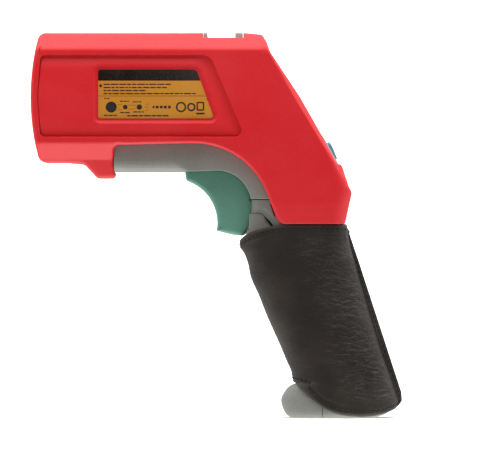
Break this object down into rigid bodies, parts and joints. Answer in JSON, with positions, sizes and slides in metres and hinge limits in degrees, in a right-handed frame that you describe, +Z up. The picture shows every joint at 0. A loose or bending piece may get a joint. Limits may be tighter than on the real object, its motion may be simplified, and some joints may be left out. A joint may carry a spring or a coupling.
{
  "type": "infrared thermometer",
  "caption": "Pistol-grip infrared thermometer with an octagonal head, rear display and keypad, curved trigger, accessory saddle and a stitched leather grip sleeve.",
  "frame": {"origin": "on the flat base of the grip, on the mid plane", "axes": "+Z up along the height, the muzzle points to -X, the user stands at +X and -Y is the left side"},
  "size_m": [0.1845, 0.055, 0.1916],
  "materials": {
    "red_case": "fine satin moulded plastic",
    "grey_frame": "fine matte moulded plastic",
    "green_trigger": "satin moulded plastic",
    "black_plastic": "matte moulded plastic",
    "brown_black_leather": "grained leather, stitched",
    "amber_label": "printed film",
    "pale_plastic": "matte moulded plastic",
    "blue_key": "satin rubber-like plastic",
    "circuit_board": "solder mask",
    "clear_window": "clear moulded window",
    "lcd": "display glass",
    "lens": "coated infrared lens",
    "dark_rubber": "matte rubber",
    "steel": "plain",
    "brass": "plain",
    "cell_wrap": "shrink film",
    "wire_red": "insulation",
    "wire_black": "insulation"
  },
  "bodies": {
    "case": {"housing_left": "red_case", "housing_right": "red_case", "side_panel_left": "red_case", "side_panel_right": "red_case", "underframe_left": "grey_frame", "underframe_right": "grey_frame", "battery_door": "grey_frame", "grip_body": "grey_frame", "front_bezel": "black_plastic", "optical_barrel": "black_plastic", "detector_mount": "black_plastic", "laser_bracket": "black_plastic", "display_bezel": "black_plastic", "sounder": "black_plastic", "trigger_switch": "black_plastic", "battery_cradle": "black_plastic", "leather_sleeve": "brown_black_leather", "rating_label": "amber_label", "blank_label": "amber_label", "accessory_shoe": "pale_plastic", "keypad_bezel": "pale_plastic", "main_board": "circuit_board", "display_board": "circuit_board", "display_window": "clear_window", "lcd_glass": "lcd", "objective_lens": "lens", "laser_window": "clear_window", "keypad_mat": "dark_rubber", "lens_retaining_ring": "steel", "thermopile_detector": "steel", "trigger_pin": "steel", "battery_spring_left": "steel", "battery_spring_right": "steel", "battery_contact_plate": "steel", "housing_screw_1": "steel", "housing_screw_2": "steel", "housing_screw_3": "steel", "housing_screw_4": "steel", "housing_screw_5": "steel", "laser_module": "brass", "tripod_insert": "brass", "battery_cell_left": "cell_wrap", "battery_cell_right": "cell_wrap", "battery_lead_red": "wire_red", "battery_lead_black": "wire_black"},
    "trigger": {"trigger": "green_trigger", "trigger_spring": "steel"},
    "key_left": {"key_left": "blue_key"},
    "key_middle": {"key_middle": "blue_key"},
    "key_right": {"key_right": "blue_key"},
    "release_pad_left": {"release_pad_left": "grey_frame"},
    "release_pad_right": {"release_pad_right": "grey_frame"}
  },
  "joints": [
    {"name": "trigger_pull", "type": "hinge", "parent": "case", "child": "trigger", "pos_m": [-0.07, 0, 0.128], "axis": [0, -1, 0], "range_deg": [0, 8.5], "stiffness_Nm_per_rad": 0.6, "springref_deg": -11.46},
    {"name": "key_left_press", "type": "slide", "parent": "case", "child": "key_left", "axis": [-0.8596, 0, -0.511], "range_m": [0, 0.0009], "stiffness_N_per_m": 900, "springref_m": -0.0008},
    {"name": "key_middle_press", "type": "slide", "parent": "case", "child": "key_middle", "axis": [-0.8596, 0, -0.511], "range_m": [0, 0.0009], "stiffness_N_per_m": 900, "springref_m": -0.0008},
    {"name": "key_right_press", "type": "slide", "parent": "case", "child": "key_right", "axis": [-0.8596, 0, -0.511], "range_m": [0, 0.0009], "stiffness_N_per_m": 900, "springref_m": -0.0008},
    {"name": "release_pad_left_press", "type": "slide", "parent": "case", "child": "release_pad_left", "axis": [0, 1, 0], "range_m": [0, 0.0012], "stiffness_N_per_m": 1600, "springref_m": -0.0008},
    {"name": "release_pad_right_press", "type": "slide", "parent": "case", "child": "release_pad_right", "axis": [0, -1, 0], "range_m": [0, 0.0012], "stiffness_N_per_m": 1600, "springref_m": -0.0008}
  ]
}
